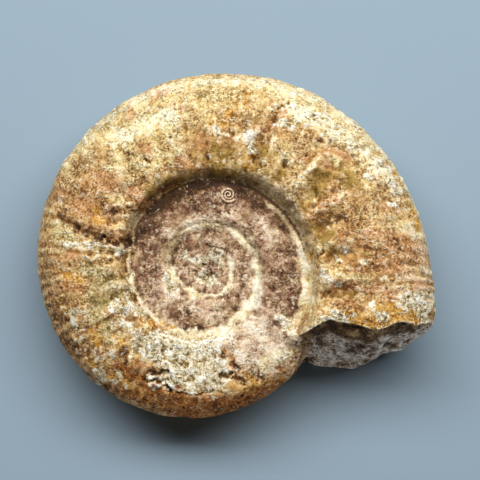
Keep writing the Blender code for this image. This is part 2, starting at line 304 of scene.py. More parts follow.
RIDGES = [
    (-41.7, -1.5, -26.7, -2.2, 1.8, 0.55), (-37.2, -4.8, -31.0, -4.5, 1.0, 0.3),
    (-31.7, 8.6, -25.2, 8.6, 1.5, 0.45), (19.0, 5.5, 25.5, 9.8, 2.0, 0.7),
    (23.5, -1.7, 28.2, -1.5, 1.8, 0.5), (23.2, -10.3, 28.2, -10.3, 2.0, 0.45),
    (6.7, 16.9, 9.5, 23.9, 2.0, 0.6), (-4.7, 16.9, -5.7, 21.9, 2.2, 0.3),
    (13.5, 10.4, 18.7, 16.9, 2.2, 0.7), (18.7, 16.9, 21.7, 20.4, 2.0, 0.5),
    (0.7, 19.4, 1.7, 24.4, 1.8, 0.3), (-24.2, -15.8, -26.7, -17.9, 1.5, 0.35),
    (-31.7, -11.8, -27.2, -11.3, 1.2, 0.3), (-31.2, 2.3, -27.7, 2.8, 1.2, 0.35),
    (-21.2, -36.2, -17.7, -36.4, 0.8, 0.35), (-21.2, -34.3, -18.7, -34.5, 0.6, 0.35),
    (19.7, -5.8, 21.7, -6.8, 1.0, 0.2),
]
PITS = [
    (19.7, 30.9, 20.4, 30.6, 0.8, -0.96), (21.9, 30.5, 22.1, 30.2, 0.7, -0.45),
    (21.6, 28.9, 21.7, 28.8, 0.5, -0.4), (23.4, 28.6, 23.7, 28.2, 0.8, -0.5),
    (25.5, 27.7, 26.0, 27.5, 0.7, -0.4), (27.5, 26.5, 27.8, 26.0, 0.7, -0.5),
    (20.5, 24.4, 21.7, 24.3, 0.8, -0.4), (13.2, 34.8, 13.4, 34.5, 0.6, -0.45),
    (-22.5, 19.7, -21.5, 19.3, 0.6, -0.88), (-6.6, 20.4, -6.6, 20.1, 0.6, -0.8),
    (6.5, 18.7, 7.0, 17.9, 0.8, -0.88), (12.0, 18.4, 12.7, 17.8, 0.8, -0.88),
    (-32.0, 19.7, -30.7, 18.7, 0.8, -0.4), (-30.0, 17.6, -29.5, 17.1, 0.8, -0.4),
    (-27.0, 22.2, -26.6, 21.2, 0.7, -0.4), (-33.2, 24.2, -31.7, 23.7, 0.7, -0.25),
    (35.7, 19.4, 36.7, 18.4, 0.8, -0.35), (30.5, 20.7, 31.0, 19.7, 0.7, -0.35),
    (38.0, 13.1, 38.5, 12.6, 0.7, -0.35), (26.0, 14.1, 26.5, 13.6, 0.6, -0.3),
    (38.2, 9.6, 38.7, 9.3, 0.6, -0.3), (26.7, 4.6, 27.5, 4.1, 0.7, -0.3),
    (21.0, -4.0, 21.9, -3.4, 0.8, -0.88), (13.7, 8.3, 14.1, 7.8, 0.6, -0.4),
    (-25.7, 3.3, -25.2, 3.0, 0.6, -0.35), (-28.5, 28.7, -27.7, 28.5, 0.6, -0.25),
    (-1.7, 6.2, -1.2, 5.6, 0.8, -0.35), (-14.2, 1.0, -13.2, 0.9, 0.8, -0.3),
    (-6.5, -1.0, -5.5, -1.7, 0.8, -0.3), (-1.0, -3.2, -0.9, -3.6, 0.6, -0.25),
    (6.7, -18.1, 7.4, -18.6, 0.8, -0.3), (3.0, -19.6, 3.7, -20.4, 0.8, -0.3),
    (1.0, -24.8, 1.7, -25.2, 0.8, -0.25), (4.0, -27.4, 4.6, -27.9, 0.8, -0.3),
    (9.7, -25.7, 10.5, -26.0, 0.8, -0.3), (-8.0, -26.7, -7.0, -27.3, 1.0, -0.3),
    (7.2, -29.4, 7.9, -30.2, 0.8, -0.25), (10.0, -20.9, 10.7, -22.6, 0.9, -0.25),
    (-22.0, -11.1, -21.5, -11.6, 0.6, -0.2), (-6.2, -5.0, -6.1, -5.3, 0.6, -0.25),
    (-10.0, -6.0, -9.2, -6.5, 0.6, -0.3), (-8.1, -5.7, -7.6, -5.9, 0.6, -0.5),
    (-10.5, -7.7, -10.0, -7.9, 0.6, -0.5), (-5.8, -8.2, -5.2, -8.4, 0.6, -0.5),
    (-8.1, -12.2, -7.6, -12.4, 0.6, -0.4), (-4.0, -6.3, -3.5, -6.6, 0.6, -0.3),
]
UPPER_SIDE = (5 * MM, 9 * MM)  # heights from which lines and patches are placed as listed
WANDER = 0.8  # how far lines and patches stray from where they are put, in mm
UNEVENNESS = 0.5  # how much a carved line's height changes along it, over its height
CHANCE_SIZE, CHANCE_SLOPE = 14, 12  # patches by chance: their size, and how sharply they end
RAGGED_SIZE = 2.2  # lobes of a patch's edge, in mm

upper = ease(base[:, 2], *UPPER_SIDE)


def grain(size, octaves, seed, tall=1):
    """Cloudy noise from about -1 to 1, with lumps of a size in mm, that may be drawn out upright."""
    places = (base / (size * MM * np.array((1, 1, tall))) + seed * 7.3).tolist()
    return np.array([noise.fractal(place, 1.0, 2.0, octaves) for place in places])


plan = base[:, :2] / MM + WANDER * np.column_stack((grain(1.6, 3, 1), grain(1.6, 3, 2)))
uneven = grain(1.1, 2, 5)


def from_line(x0, y0, x1, y1):
    """How far each point is from a line, in mm in plan."""
    start, run = np.array((x0, y0)), np.array((x1 - x0, y1 - y0))
    on = np.clip((plan - start) @ run / max(run @ run, 1e-6), 0, 1)
    return np.linalg.norm(plan - start - on[:, None] * run, axis=1)


def carved(lines):
    """The relief of a set of lines, in mm, uneven along them."""
    total = np.zeros(len(plan))
    for x0, y0, x1, y1, half_width, height in lines:
        distance = from_line(x0, y0, x1, y1)
        total += height * np.clip(1 - (distance / half_width) ** 2, 0, 1) ** 2
    return total * (1 + UNEVENNESS * uneven)


def patch(lines, soft, ragged, seed, scarcity):
    """0 to 1: patches with ragged edges, placed as listed above and by chance below."""
    inside = np.full(len(plan), -9.0)
    for x0, y0, x1, y1, half_width in lines:
        inside = np.maximum(inside, half_width - from_line(x0, y0, x1, y1))
    chance = (grain(CHANCE_SIZE, 3, seed + 1) - scarcity) * CHANCE_SLOPE
    chosen = inside + (chance - inside) * (1 - upper)
    return ease(chosen + ragged * grain(RAGGED_SIZE, 4, seed), -soft, soft)


def terraces(height, steps):
    """Turns a smooth relief into layers, as where a crust flakes."""
    layer = np.floor(height * steps)
    return (layer + ease(height * steps - layer, 0.55, 1)) / steps


# Crusts and stains on the upper flank, placed one by one. A stroke is x0, y0, x1, y1 and its half
# width, in mm in plan.
CRUST = [
    (-22.2, -26.4, -5.7, -26.9, 3.6), (-15.2, -31.2, -5.0, -30.9, 3.1),
    (-15.7, -35.0, -3.2, -35.0, 2.2), (-19.2, -23.9, -10.7, -23.9, 2.0),
    (-14.2, -37.5, -5.2, -37.5, 1.0), (-29.2, -16.3, -23.2, -17.9, 1.5),
    (-29.0, -20.4, -28.2, -18.9, 1.0), (-30.7, -17.9, -29.7, -16.8, 0.8),
    (-34.7, -2.4, -29.2, -2.3, 0.5), (-42.2, -1.0, -35.7, -1.7, 0.8),
    (-41.5, -18.1, -38.7, -18.1, 1.2), (-40.5, -19.4, -39.5, -24.4, 0.9),
    (-34.2, -28.9, -30.7, -28.9, 1.0), (-34.7, -33.5, -33.2, -35.0, 0.8),
    (-29.7, -34.5, -27.7, -35.5, 0.8), (-20.7, -36.2, -17.9, -36.4, 0.3),
    (-20.7, -34.3, -18.9, -34.5, 0.2), (11.7, 28.7, 16.2, 28.2, 1.2), (21.7, 27.0, 29.2, 22.9, 0.8),
    (35.7, 20.4, 37.7, 18.4, 1.0), (2.7, 25.0, 4.2, 21.9, 1.1), (-4.2, 26.5, -3.5, 25.5, 0.6),
    (38.2, 8.3, 40.2, 7.8, 0.8), (39.2, 13.4, 41.7, 11.9, 1.0), (32.7, 15.4, 33.7, 14.4, 0.8),
    (41.2, -14.8, 48.2, -14.1, 1.5), (43.2, -16.6, 48.2, -16.8, 1.5),
    (39.7, -16.3, 42.2, -17.9, 1.0), (45.7, -18.9, 48.7, -20.9, 1.0),
    (35.2, -18.4, 36.0, -20.4, 0.8), (33.7, -17.1, 34.2, -18.1, 0.6),
    (20.7, -19.6, 27.7, -20.4, 0.8), (25.7, -3.5, 28.0, -3.5, 0.5), (25.2, -6.0, 27.0, -6.0, 0.3),
    (31.7, -5.8, 34.7, -5.3, 0.3), (21.7, -11.1, 25.7, -11.3, 0.5), (21.2, -9.5, 22.0, -9.8, 0.6),
    (40.0, -9.3, 40.7, -9.8, 0.4), (37.0, -10.3, 37.7, -11.8, 0.5), (-9.7, -9.0, -6.7, -9.8, 1.8),
    (-8.2, -4.3, -3.7, -4.5, 1.1), (-12.2, -4.5, -10.7, -5.0, 0.9), (-5.2, -9.8, -4.2, -10.3, 1.0),
    (-17.2, -8.3, -16.5, -11.8, 1.2), (12.2, -19.9, 13.2, -21.9, 1.0), (12.2, 34.0, 23.7, 30.5, 0.7),
    (-24.2, -29.0, -21.7, -30.0, 0.8), (-20.0, -30.4, -18.0, -31.2, 0.8),
    (-26.4, -9.0, -25.8, -13.5, 0.7), (-27.7, -20.9, -24.7, -23.4, 1.2),
    (-30.2, -32.5, -28.7, -33.3, 0.6), (38.5, -15.6, 47.5, -18.4, 0.6),
]
# The strokes that follow the outer whorl's far rim, from (-43.2, 18.7) round to (45.0, 11.9), are
# partly cream crust and partly a painted highlight where the rim faces the light.
CREAM = [
    (-44.7, 3.3, -42.2, -0.2, 2.2), (-43.2, 18.7, -37.7, 25.5, 1.5), (-37.7, 25.5, -28.2, 33.5, 1.8),
    (-28.2, 33.5, -16.2, 38.0, 2.0), (-16.2, 38.0, 1.2, 40.1, 1.8), (1.2, 40.1, 16.2, 37.0, 1.8),
    (16.2, 37.0, 26.7, 32.0, 1.5), (26.7, 32.0, 37.2, 22.4, 1.2), (-32.7, 28.0, -18.7, 34.0, 3.5),
    (-28.2, 22.4, -16.2, 27.5, 3.5), (-16.7, 34.0, -3.7, 35.5, 3.0), (-27.5, 18.7, -16.2, 20.4, 2.2),
    (-3.7, 39.1, 11.2, 37.0, 2.0), (29.7, 28.5, 36.2, 21.9, 1.2), (31.7, 18.9, 40.2, 13.4, 1.2),
    (39.2, 4.8, 44.7, 1.8, 1.5), (-29.7, 10.9, -29.0, 8.6, 1.8), (-30.5, 2.5, -29.2, 2.0, 1.0),
    (21.2, -2.0, 31.7, -2.0, 0.9), (27.7, -10.6, 32.2, -10.3, 1.0), (16.2, 16.9, 17.7, 13.9, 1.0),
    (12.2, 22.9, 10.2, 18.9, 0.8), (-43.2, 22.4, -36.2, 30.0, 1.2), (-36.2, 30.0, -23.7, 37.5, 1.5),
    (-23.7, 37.5, -8.7, 40.6, 1.5), (-8.7, 40.6, 8.7, 40.1, 1.5), (8.7, 40.1, 23.7, 34.5, 1.5),
    (23.7, 34.5, 36.2, 24.4, 1.5), (36.2, 24.4, 45.0, 11.9, 1.2), (45.0, 11.9, 48.5, -0.2, 0.8),
    (13.7, 35.0, 26.2, 27.5, 2.5), (26.2, 27.5, 38.7, 17.4, 2.2), (21.2, 22.4, 33.7, 12.4, 1.5),
    (-31.2, 27.5, -16.2, 32.5, 2.5), (-33.7, 17.4, -21.2, 22.4, 1.5), (-7.5, 36.3, 3.7, 37.5, 1.5),
    (-21.2, -20.4, -17.5, -23.4, 0.8), (-11.2, 36.3, -2.5, 37.0, 1.5),
    (-11.2, 30.0, -5.0, 30.5, 1.2), (1.2, 32.5, 6.7, 34.0, 1.0), (7.2, -30.4, 14.7, -27.9, 1.0),
    (18.0, -4.5, 18.7, -12.8, 1.0), (18.7, -12.8, 17.9, -17.5, 1.2),
    (-25.2, -28.4, -20.2, -29.4, 1.2), (-34.7, -2.2, -26.7, -3.0, 0.9),
    (11.2, 34.0, 23.7, 27.0, 1.8), (23.7, 27.0, 34.2, 19.9, 1.5), (34.2, 19.9, 39.2, 13.9, 1.0),
    (21.7, -3.2, 29.2, -4.3, 0.6), (21.2, -7.3, 27.5, -8.3, 0.8), (20.2, -20.9, 28.7, -20.4, 0.8),
]
LIMONITE = [
    (-3.2, 28.5, -1.2, 32.0, 0.5), (-1.0, 35.8, 0.2, 34.0, 0.7), (3.2, 34.0, 5.2, 32.5, 0.5),
    (2.2, 39.6, 3.2, 37.5, 0.8), (-5.2, 30.5, -5.7, 29.0, 0.8), (4.5, 20.9, 2.7, 17.9, 1.0),
    (32.7, -21.4, 39.2, -18.4, 1.2), (38.2, -17.9, 42.2, -19.9, 1.5),
    (43.7, -20.4, 46.2, -19.4, 0.8), (-42.7, -8.8, -38.7, -10.0, 1.0), (-35.2, 7.8, -33.7, 4.3, 1.2),
    (-24.7, -37.5, -18.7, -38.0, 1.0), (42.2, 8.3, 45.7, 3.8, 1.8), (40.7, 17.9, 41.2, 15.4, 0.8),
    (-37.2, -29.2, -35.7, -31.2, 1.0), (-29.2, -24.4, -27.7, -27.9, 1.0),
    (-1.2, -35.5, 2.7, -37.5, 1.2), (3.7, -34.0, 6.2, -37.0, 1.0), (-20.7, -20.9, -15.7, -23.4, 0.9),
    (-35.0, -22.9, -31.7, -30.9, 1.0), (-30.7, -34.5, -21.2, -39.0, 1.0),
    (-43.7, -15.3, -40.7, -22.4, 0.8), (29.2, -19.9, 37.5, -20.9, 1.2),
    (37.5, -20.9, 41.2, -21.9, 1.0), (29.2, -20.9, 40.7, -22.4, 0.9),
    (-21.2, -39.5, -11.2, -40.5, 0.8), (6.7, -37.5, 12.2, -34.5, 0.8), (16.2, -4.8, 23.7, -4.3, 0.6),
    (33.2, -19.9, 40.7, -20.9, 1.0), (34.2, -17.9, 39.2, -18.6, 0.8),
    (40.7, -19.4, 43.7, -18.4, 0.8), (2.2, -36.0, 6.7, -39.5, 0.8), (29.2, -20.9, 34.2, -21.9, 0.8),
    (34.7, -21.4, 43.2, -19.9, 0.8), (26.2, -18.4, 32.7, -19.9, 0.6),
]
RUSSET = [
    (-38.7, 8.8, -31.7, 6.3, 3.0), (-36.7, 13.4, -30.7, 13.4, 2.0), (-44.5, -3.8, -38.2, -4.5, 1.0),
    (-34.7, 16.4, -31.2, 15.4, 1.2), (-26.7, 12.9, -23.2, 9.3, 1.8), (-8.7, 25.0, -7.2, 21.4, 1.2),
    (8.7, 28.0, 11.5, 32.5, 1.1), (-20.2, 37.5, -16.7, 39.1, 1.0), (-26.7, 33.3, -25.7, 32.0, 1.0),
    (-14.2, 34.3, -13.2, 33.0, 0.8), (-23.7, 23.7, -21.2, 21.9, 1.0), (18.2, 20.9, 22.2, 21.4, 0.8),
    (23.7, 21.9, 27.7, 20.9, 1.0), (22.7, 18.9, 25.2, 16.9, 0.8), (19.2, 5.3, 21.2, 4.3, 1.0),
    (21.2, 7.8, 24.2, 8.8, 1.0), (25.2, 0.3, 27.7, -0.2, 1.0), (29.2, 0.3, 30.7, -0.7, 0.8),
    (34.7, 1.3, 37.7, 0.3, 0.8), (35.2, -5.8, 41.2, -9.3, 2.0), (41.2, -0.2, 47.2, -4.3, 2.0),
    (37.2, -14.3, 40.2, -16.3, 1.2), (-32.7, 2.8, -26.7, 0.8, 0.8), (43.7, -10.3, 47.2, -12.8, 1.5),
    (-43.7, -11.3, -38.2, -11.3, 1.0), (-13.7, 19.4, -8.7, 17.9, 1.2), (28.7, -5.8, 32.2, -8.3, 1.2),
    (-3.7, -28.4, -0.2, -30.9, 1.0), (-5.7, -25.4, -4.2, -27.9, 0.8),
    (-33.7, -27.9, -26.2, -36.7, 1.5), (3.7, -37.5, 14.2, -32.0, 1.2),
    (-26.2, -38.5, -18.7, -41.0, 1.2), (-45.7, -12.8, -43.7, -22.9, 0.8),
    (-42.5, -25.4, -37.5, -32.5, 1.0), (37.5, -2.7, 47.5, -5.8, 1.2), (36.2, -9.0, 47.5, -11.6, 1.0),
    (-45.0, 12.4, -37.5, 9.8, 1.0), (-23.7, -38.5, 3.7, -40.0, 1.5),
    (-31.2, -36.7, -23.7, -40.0, 1.2), (3.7, -38.5, 13.2, -33.5, 1.2), (40.0, -5.8, 47.2, -4.8, 1.0),
    (28.7, -8.3, 40.0, -7.8, 1.0), (26.2, 1.0, 41.2, -0.2, 1.0), (-43.7, -26.7, -36.2, -35.5, 1.0),
    (27.5, -2.2, 45.0, -3.2, 0.8), (23.7, -5.8, 36.2, -6.8, 0.8), (28.7, -12.3, 41.2, -13.3, 0.8),
    (36.2, 7.3, 46.2, 6.1, 0.8), (1.2, -33.5, 6.7, -38.5, 1.2), (6.7, -36.7, 10.2, -34.2, 0.8),
    (-0.7, -35.5, 2.5, -40.0, 1.0), (-24.7, -30.9, -20.2, -32.0, 0.9),
    (24.2, -12.3, 34.2, -13.3, 1.0), (34.2, -12.8, 41.2, -15.3, 1.0),
    (25.2, -15.8, 31.2, -16.8, 0.8),
]
OLIVE = [
    (-21.2, 11.9, -14.2, 13.9, 1.8), (-5.2, 22.4, -2.7, 17.9, 1.8), (-1.7, 22.4, -0.7, 16.9, 1.2),
    (2.7, 19.9, 5.0, 17.9, 1.2), (9.7, 15.4, 12.2, 16.4, 1.2), (17.7, 8.8, 21.7, 14.9, 1.8),
    (21.7, 14.9, 24.2, 17.9, 1.1), (19.7, 1.8, 23.2, 2.8, 1.2), (21.2, -0.2, 23.2, 0.3, 1.0),
    (24.2, -4.8, 30.7, -4.3, 1.2), (22.2, -13.3, 28.2, -13.3, 1.4), (-8.7, 22.4, -5.2, 17.9, 1.5),
    (7.2, 22.4, 8.7, 20.4, 1.2), (26.2, 16.9, 29.2, 13.4, 1.5), (-5.7, 22.4, -2.5, 16.1, 1.0),
    (20.7, 12.4, 24.2, 16.9, 1.0), (22.5, -0.2, 28.7, 0.8, 1.0), (21.2, -13.3, 29.2, -14.3, 1.2),
    (-16.2, 15.4, -11.2, 16.4, 0.8), (-10.0, 17.4, 2.5, 17.9, 0.8), (3.7, 17.4, 8.2, 15.9, 0.8),
]
# The strokes along the umbilicus's top seam, from x -18.7 to 5.2 mm at y 10.7 to 14.9 mm, are painted
# shade on the wall there as well as brown stain.
UMBER = [
    (-44.2, 6.1, -39.7, 3.3, 0.8), (-39.7, 2.8, -33.7, 1.0, 1.5), (-33.7, 0.6, -26.7, -0.3, 1.7),
    (-16.2, 10.7, -10.2, 13.4, 1.1), (-37.7, 3.3, -33.7, 2.8, 0.5), (-16.2, 13.4, -5.2, 14.4, 0.6),
    (-5.2, 14.4, 5.2, 13.9, 0.7), (-18.7, 12.4, -15.7, 13.9, 1.2), (-24.2, 8.6, -18.7, 10.3, 1.2),
    (-21.7, 6.6, -19.7, 7.8, 1.0), (-30.7, 7.3, -26.2, 6.8, 0.8), (23.7, -4.8, 24.5, -5.8, 0.8),
    (21.7, -13.8, 24.2, -14.3, 0.6), (39.2, 0.8, 40.7, -2.7, 0.4), (2.2, -40.0, 7.2, -37.5, 1.5),
    (-21.7, -33.3, -16.7, -33.4, 1.0), (-21.7, -35.3, -16.7, -35.1, 0.9),
    (-29.2, -32.5, -23.7, -33.0, 0.8), (-27.7, -27.9, -26.7, -30.4, 0.8),
    (-46.2, -16.3, -42.2, -16.1, 0.6), (-45.7, -18.9, -42.2, -19.9, 1.0),
    (-43.2, -24.9, -37.7, -27.9, 1.2), (-40.2, -22.4, -35.7, -21.9, 0.6),
    (-6.7, 21.2, -6.7, 19.7, 0.5), (-0.2, -30.9, 0.7, -32.0, 0.8), (-3.7, -34.0, -0.7, -33.5, 0.6),
    (-0.7, -34.0, 2.2, -35.7, 0.6), (-3.2, -29.4, -2.2, -30.9, 0.6), (20.7, 24.4, 21.5, 24.3, 0.8),
    (-32.2, 22.2, -31.7, 22.0, 0.4), (-26.9, 22.1, -26.5, 21.7, 0.4), (3.7, -41.5, 12.5, -37.5, 1.2),
    (-37.5, -33.5, -30.0, -38.5, 1.0), (-18.0, 11.1, -15.7, 12.6, 1.0),
    (-15.7, 12.6, -11.7, 14.1, 1.0), (-11.7, 14.1, -8.7, 14.9, 0.8), (-9.7, -30.9, -5.2, -32.0, 0.5),
    (-11.7, -34.0, -7.2, -34.7, 0.5), (-17.5, -32.0, -14.2, -33.2, 0.5),
]
# The long stroke across the second whorl's top, from (-13.2, 9.6) to (6.7, 8.6), is painted shade from
# the umbilicus's far wall as well as mauve stain.
MAUVE = [
    (-21.2, 2.8, -17.7, -0.2, 1.8), (-22.2, -2.7, -19.2, -9.3, 1.5),
    (-22.7, -11.3, -21.2, -12.3, 1.0), (-15.2, -18.4, -10.7, -21.4, 2.2),
    (-14.7, 1.3, -12.7, 0.3, 1.0), (-8.0, -0.7, -5.2, -1.7, 1.2), (-13.7, -6.3, -13.2, -11.3, 1.0),
    (-7.7, 1.8, -5.7, 1.8, 1.0), (3.7, 1.3, 6.7, -1.7, 1.5), (7.7, -5.3, 10.7, -6.3, 1.2),
    (12.7, -5.8, 15.7, -7.8, 1.5), (13.7, -12.8, 15.7, -16.8, 1.5), (5.7, -18.4, 7.7, -18.4, 1.0),
    (9.7, -20.9, 10.7, -22.9, 1.2), (6.2, -13.3, 9.2, -15.3, 1.2), (11.5, 3.3, 12.7, 1.8, 1.0),
    (2.7, 8.3, 8.2, 6.8, 1.2), (0.7, 12.4, 2.7, 11.4, 1.0), (-1.7, 6.3, -0.7, 4.8, 1.0),
    (-14.2, 11.9, -5.2, 13.1, 1.2), (3.2, -19.9, 3.5, -20.1, 1.0), (1.0, -24.9, 1.7, -25.2, 0.8),
    (4.2, -27.7, 4.5, -27.9, 0.8), (9.7, -25.7, 10.2, -25.9, 0.8), (-7.7, -26.9, -7.2, -27.2, 0.9),
    (7.2, -29.4, 7.7, -30.4, 0.8), (11.2, -2.7, 16.2, -4.3, 1.0), (3.7, 5.3, 5.2, 2.8, 1.0),
    (-20.7, -15.3, -19.7, -14.8, 1.0), (-16.7, 8.3, -8.7, 7.3, 1.0), (-19.2, 8.3, -16.2, 9.6, 1.0),
    (6.7, -34.5, 7.2, -35.0, 0.6), (-23.7, 1.8, -20.7, -5.8, 1.0), (-23.2, -7.8, -21.2, -13.3, 1.0),
    (6.7, 0.8, 11.2, -5.8, 1.2), (10.2, -7.3, 14.2, -15.3, 1.2), (-13.2, -20.9, -8.7, -18.4, 1.0),
    (-18.7, 8.6, -15.0, 11.1, 1.0), (3.7, 8.6, 9.2, 6.3, 1.0), (-5.7, 8.6, -1.2, 6.8, 0.8),
    (-26.7, -1.5, -23.7, -12.8, 0.8), (-21.2, 3.5, -16.7, -1.5, 1.5),
    (-19.2, -10.8, -21.2, -15.3, 1.0), (-11.7, -19.9, -7.7, -22.4, 1.5), (8.2, 4.3, 10.2, 0.3, 0.8),
    (11.7, -9.0, 14.2, -17.9, 1.2), (7.2, -15.3, 9.2, -22.9, 0.8), (1.2, 8.6, 8.2, 5.8, 1.2),
    (-2.2, 3.8, 1.2, 0.8, 1.0), (-6.2, -1.2, -2.2, -2.7, 1.0), (-12.2, 0.8, -9.7, -1.7, 1.0),
    (3.7, -26.7, 6.7, -28.4, 1.0), (-1.2, -30.4, 1.2, -31.7, 0.8), (10.0, -24.1, 13.7, -26.7, 1.0),
    (-0.7, 1.8, 3.7, -5.8, 0.8), (-13.7, 8.6, -7.5, 6.8, 1.2), (-21.2, 7.8, -17.5, 5.8, 1.2),
    (0.0, -16.8, 1.2, -19.9, 0.8), (-13.2, 9.6, 6.7, 8.6, 1.2), (-10.7, -6.3, -4.7, -6.8, 0.4),
    (-10.7, -10.3, -3.7, -11.1, 0.4), (0.2, -15.3, 3.2, -13.3, 0.8), (1.2, 10.9, 6.7, 8.8, 1.0),
    (2.7, 7.8, 6.7, 6.3, 0.8), (-3.2, 9.8, 0.2, 8.3, 0.8), (-9.7, 6.3, -7.2, 6.8, 0.6),
    (11.7, -1.2, 15.2, -7.3, 1.0), (8.7, -11.8, 12.2, -15.3, 1.0), (6.7, -3.8, 9.2, -7.8, 0.8),
    (-22.2, -2.7, -20.2, -9.3, 1.0), (-18.7, 5.8, -14.7, 3.3, 0.8), (-9.7, -15.3, -4.7, -17.9, 0.8),
    (-14.2, 8.3, -8.7, 10.3, 0.9), (-2.2, 10.9, 3.7, 8.3, 1.0), (3.7, 6.8, 7.7, 3.3, 0.8),
    (-12.7, 5.8, -15.7, 2.8, 0.6),
]
PINK = [
    (0.7, -22.9, 13.7, -30.9, 5.0), (-2.5, -26.7, 5.0, -33.5, 3.0), (13.2, -20.4, 12.7, -30.9, 2.5),
]
# The first strokes, along the outer whorl's far rim, are partly pale crust and partly a painted
# highlight where the rim faces the light.
PALE = [
    (-43.2, 22.4, -36.2, 30.0, 1.0), (-36.2, 30.0, -23.7, 37.5, 1.2), (-23.7, 37.5, -8.7, 41.1, 1.2),
    (-8.7, 41.1, 8.7, 40.6, 1.2), (8.7, 40.6, 23.7, 35.0, 1.2), (23.7, 35.0, 36.2, 25.0, 1.2),
    (36.2, 25.0, 45.0, 12.4, 1.0), (45.0, 12.4, 48.7, -0.2, 0.8), (15.0, 33.8, 27.5, 26.2, 2.0),
    (27.5, 26.2, 40.0, 14.9, 1.8), (-31.2, 25.0, -16.2, 31.2, 2.0), (3.7, -14.8, 9.7, -24.1, 1.5),
    (-2.5, -24.9, 8.7, -27.9, 1.5), (6.7, -29.2, 12.5, -32.0, 1.2), (6.7, 4.3, 9.7, -0.2, 1.0),
    (-11.7, 4.3, -7.5, 5.8, 1.0), (-10.7, -16.6, -4.7, -18.4, 1.0), (2.7, -2.7, 4.7, -12.8, 0.8),
    (-18.7, -5.8, -16.7, -13.3, 1.0), (41.7, 9.8, 47.7, -2.7, 0.8), (40.0, -12.8, 48.7, -15.3, 1.0),
    (2.5, -21.6, 13.7, -26.7, 1.8), (0.0, -27.9, 10.0, -32.5, 1.2), (42.2, 7.3, 48.2, -7.8, 1.0),
    (43.2, -8.3, 48.7, -14.3, 1.0), (7.2, -29.9, 14.2, -27.9, 1.0), (11.2, -26.7, 16.2, -24.9, 0.8),
    (6.7, 5.8, 10.2, 1.3, 1.0), (3.7, -15.8, 7.2, -22.4, 1.0), (-3.2, 7.8, 1.2, 6.3, 0.6),
    (-20.7, -14.3, -17.2, -18.4, 0.8), (18.0, -4.5, 18.7, -12.8, 0.8),
    (18.7, -12.8, 17.9, -17.5, 1.0), (12.2, 33.5, 23.7, 27.5, 1.5), (23.7, 27.5, 33.7, 20.4, 1.2),
]
SAGE = [
    (-34.7, -8.3, -30.7, -10.8, 2.2), (-34.2, -15.3, -30.7, -15.8, 2.2),
    (-35.7, -20.4, -32.7, -20.9, 1.8), (-30.7, -13.8, -26.7, -14.3, 1.0),
    (-32.7, -23.9, -29.7, -24.4, 1.8), (-42.2, -22.4, -41.2, -24.9, 1.0),
    (-36.2, -30.9, -32.7, -32.0, 1.0), (-37.7, -7.3, -30.7, -15.8, 2.0),
    (-35.2, -16.8, -30.7, -24.4, 1.8),
]
RUST = [
    (-23.7, -36.0, -15.7, -39.5, 1.2), (-15.7, -39.5, -6.2, -41.5, 1.2),
    (-6.2, -41.5, 3.2, -40.0, 1.2), (3.2, -40.0, 11.7, -36.0, 1.2),
    (-26.7, -33.5, -22.2, -37.0, 1.0), (-29.2, -32.0, -25.7, -35.0, 1.0),
    (-21.2, -38.5, -8.7, -42.5, 1.5), (-8.7, -42.5, 3.7, -41.5, 1.5),
    (-19.7, -36.5, -14.7, -37.5, 0.8), (-24.7, -34.5, -22.2, -34.7, 1.2),
    (-27.2, -37.5, -18.7, -41.5, 1.2), (-18.7, -42.0, -7.5, -44.5, 1.5),
    (-7.5, -44.5, 3.7, -43.0, 1.5), (3.7, -43.0, 12.7, -38.0, 1.2),
]

# Patches: their strokes, how soft and how ragged their edges are in mm, the seed of their edges,
# and how scarce they are where chance places them, where 9 leaves them out
PATCHES = {
    "crust": (CRUST, 1.2, 2.2, 11, 0.25),
    "cream": (CREAM, 2.0, 2.2, 21, 0.1),
    "limonite": (LIMONITE, 1.3, 1.2, 31, 0.3),
    "russet": (RUSSET, 1.6, 1.8, 35, 0.15),
    "olive": (OLIVE, 1.6, 1.2, 41, 0.2),
    "umber": (UMBER, 1.2, 1.2, 51, 0.2),
    "sage": (SAGE, 1.8, 1.8, 47, 9.0),
    "rust": (RUST, 1.4, 1.4, 49, 9.0),
    "mauve": (MAUVE, 1.2, 1.6, 53, 9.0),
    "pink": (PINK, 1.8, 1.6, 57, 9.0),
    "pale": (PALE, 2.0, 1.6, 59, 0.2),
}

# All lie on the skin but not on the break. The umbilicus's pinkish stone covers the inner
# whorls, and a few strokes beside them.
whole = 1 - broken
skin = {name: patch(*strokes_and_edge) for name, strokes_and_edge in PATCHES.items()}
inner_whorls = 1 - ease(turn + 0.02 * grain(4, 3, 55), -0.99, -0.93)
skin["umbilicus"] = np.maximum(inner_whorls, skin.pop("pink"))
for name in skin:
    skin[name] *= whole
crust, olive = skin["crust"], skin["olive"]

# The wall down to the umbilicus, smooth and free of crust: by direction in degrees, the share of
# the whorl's height that it takes up
WALL_PLACES = [-24, 0, 20, 45, 90, 125, 150, 180, 270, 330]
WALL_SHARES = [-0.1, 0.0, 0.08, 0.13, 0.13, 0.1, 0.04, -0.1, -0.1, -0.1]
WALL_EDGE, WALL_UNEVENNESS = 0.07, 0.03

growth = END_ANGLE - turn * math.tau
wall_share = np.interp(np.degrees(growth), WALL_PLACES, WALL_SHARES) + WALL_UNEVENNESS * grain(3, 2, 56)
wall = (1 - ease(share - wall_share, -WALL_EDGE, WALL_EDGE)) * ease(turn, -1, -0.98) * whole

# Ribs: strong ones beside the umbilicus, and fine ones over the venter, counted from direction 0
RIBS_PER_TURN, RIB_VALLEY = 23.8, math.radians(-12.5)
RIB_HEIGHT, FINE_RIB_HEIGHT = 0.4, 0.15  # in mm
FINE_RIB_PLACES = [0, 30, 60, 90, 120, 147.5, 172.5, 197.5, 222.5, 247.5, 360]  # in degrees
FINE_RIBS_PASSED = [-0.37, 8.91, 17.58, 26.0, 34.96, 43.12, 50.45, 57.29, 64.33, 70.95, 102.63]
FINE_RIB_STRENGTHS = [1.1, 0.7, 0.2, 0.25, 0.35, 0.35, 0.75, 0.75, 0.6, 0.25, 1]

